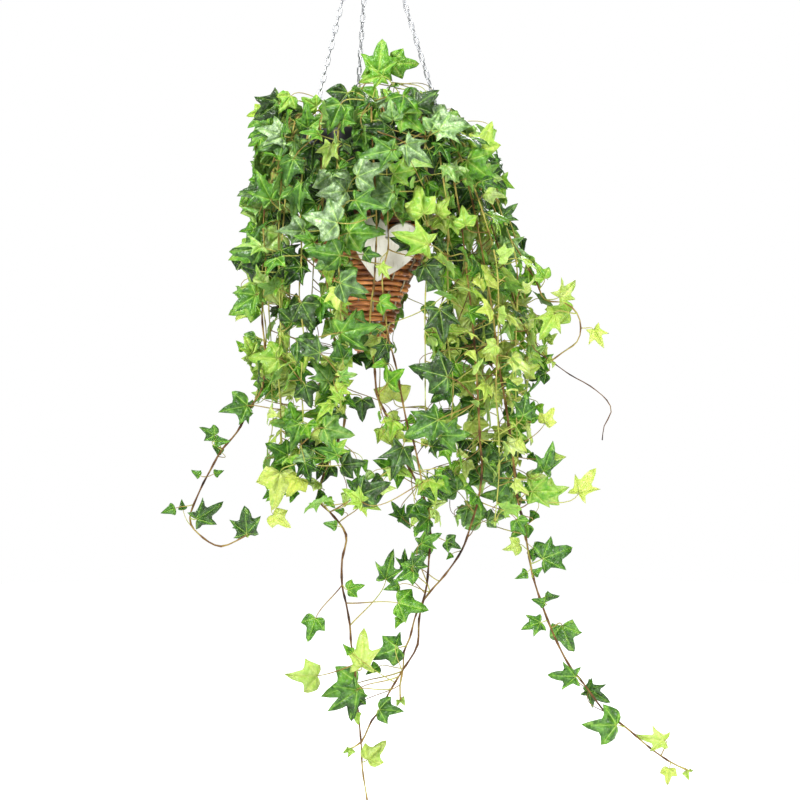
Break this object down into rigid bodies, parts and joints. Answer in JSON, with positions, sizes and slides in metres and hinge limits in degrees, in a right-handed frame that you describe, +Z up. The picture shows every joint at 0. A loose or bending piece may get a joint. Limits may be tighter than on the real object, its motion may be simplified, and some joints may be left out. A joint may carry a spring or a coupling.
{
  "type": "potted ivy in a hanging wicker cone",
  "caption": "Ivy with lobed leaves on trailing stems, in a nursery pot inside a woven wicker cone with a blank heart plaque, hung on three fine chains.",
  "frame": {"origin": "the point of the hook that bears on what it hangs from", "axes": "+Z up along the hanging line, -Y towards the front with the heart plaque, +X to the right seen from the front"},
  "size_m": [0.8246, 0.428, 1.5105],
  "materials": {
    "steel": "bright",
    "twig": "bark",
    "wicker": "stripped twigs",
    "whitewashed_wood": "whitewashed",
    "black_plastic": "satin",
    "soil": "loose potting soil",
    "leaf": "waxy leaf",
    "bare_stem": "bark"
  },
  "bodies": {
    "root": {"hook": "steel", "chain_right": "steel", "chain_left": "steel", "chain_back": "steel", "basket_rim": "twig", "basket_cone": "wicker", "heart_plaque": "whitewashed_wood", "plaque_wire": "steel", "grow_pot": "black_plastic", "soil": "soil", "crown_stem_1": "leaf", "crown_stem_2": "leaf", "crown_stem_3": "leaf", "crown_stem_4": "leaf", "crown_stem_5": "leaf", "crown_stem_6": "leaf", "crown_stem_7": "leaf", "crown_stem_8": "leaf", "crown_stem_9": "leaf", "crown_stem_10": "leaf", "crown_stem_11": "leaf", "curtain_stem_1": "leaf", "curtain_stem_2": "leaf", "curtain_stem_3": "leaf", "curtain_stem_4": "leaf", "curtain_stem_5": "leaf", "curtain_stem_6": "leaf", "curtain_stem_7": "leaf", "curtain_stem_8": "leaf", "curtain_stem_9": "leaf", "curtain_stem_10": "leaf", "curtain_stem_11": "leaf", "curtain_stem_12": "leaf", "curtain_stem_13": "leaf", "curtain_stem_14": "leaf", "curtain_stem_15": "leaf", "curtain_stem_16": "leaf", "curtain_stem_17": "leaf", "curtain_stem_18": "leaf", "curtain_stem_19": "leaf", "curtain_stem_20": "leaf", "curtain_stem_21": "leaf", "curtain_stem_22": "leaf", "vine_left": "leaf", "vine_middle_left": "leaf", "vine_centre": "leaf", "vine_front": "leaf", "vine_joining": "leaf", "vine_right": "leaf", "vine_right_loop": "leaf", "vine_right_bare": "bare_stem"}
  },
  "joints": []
}
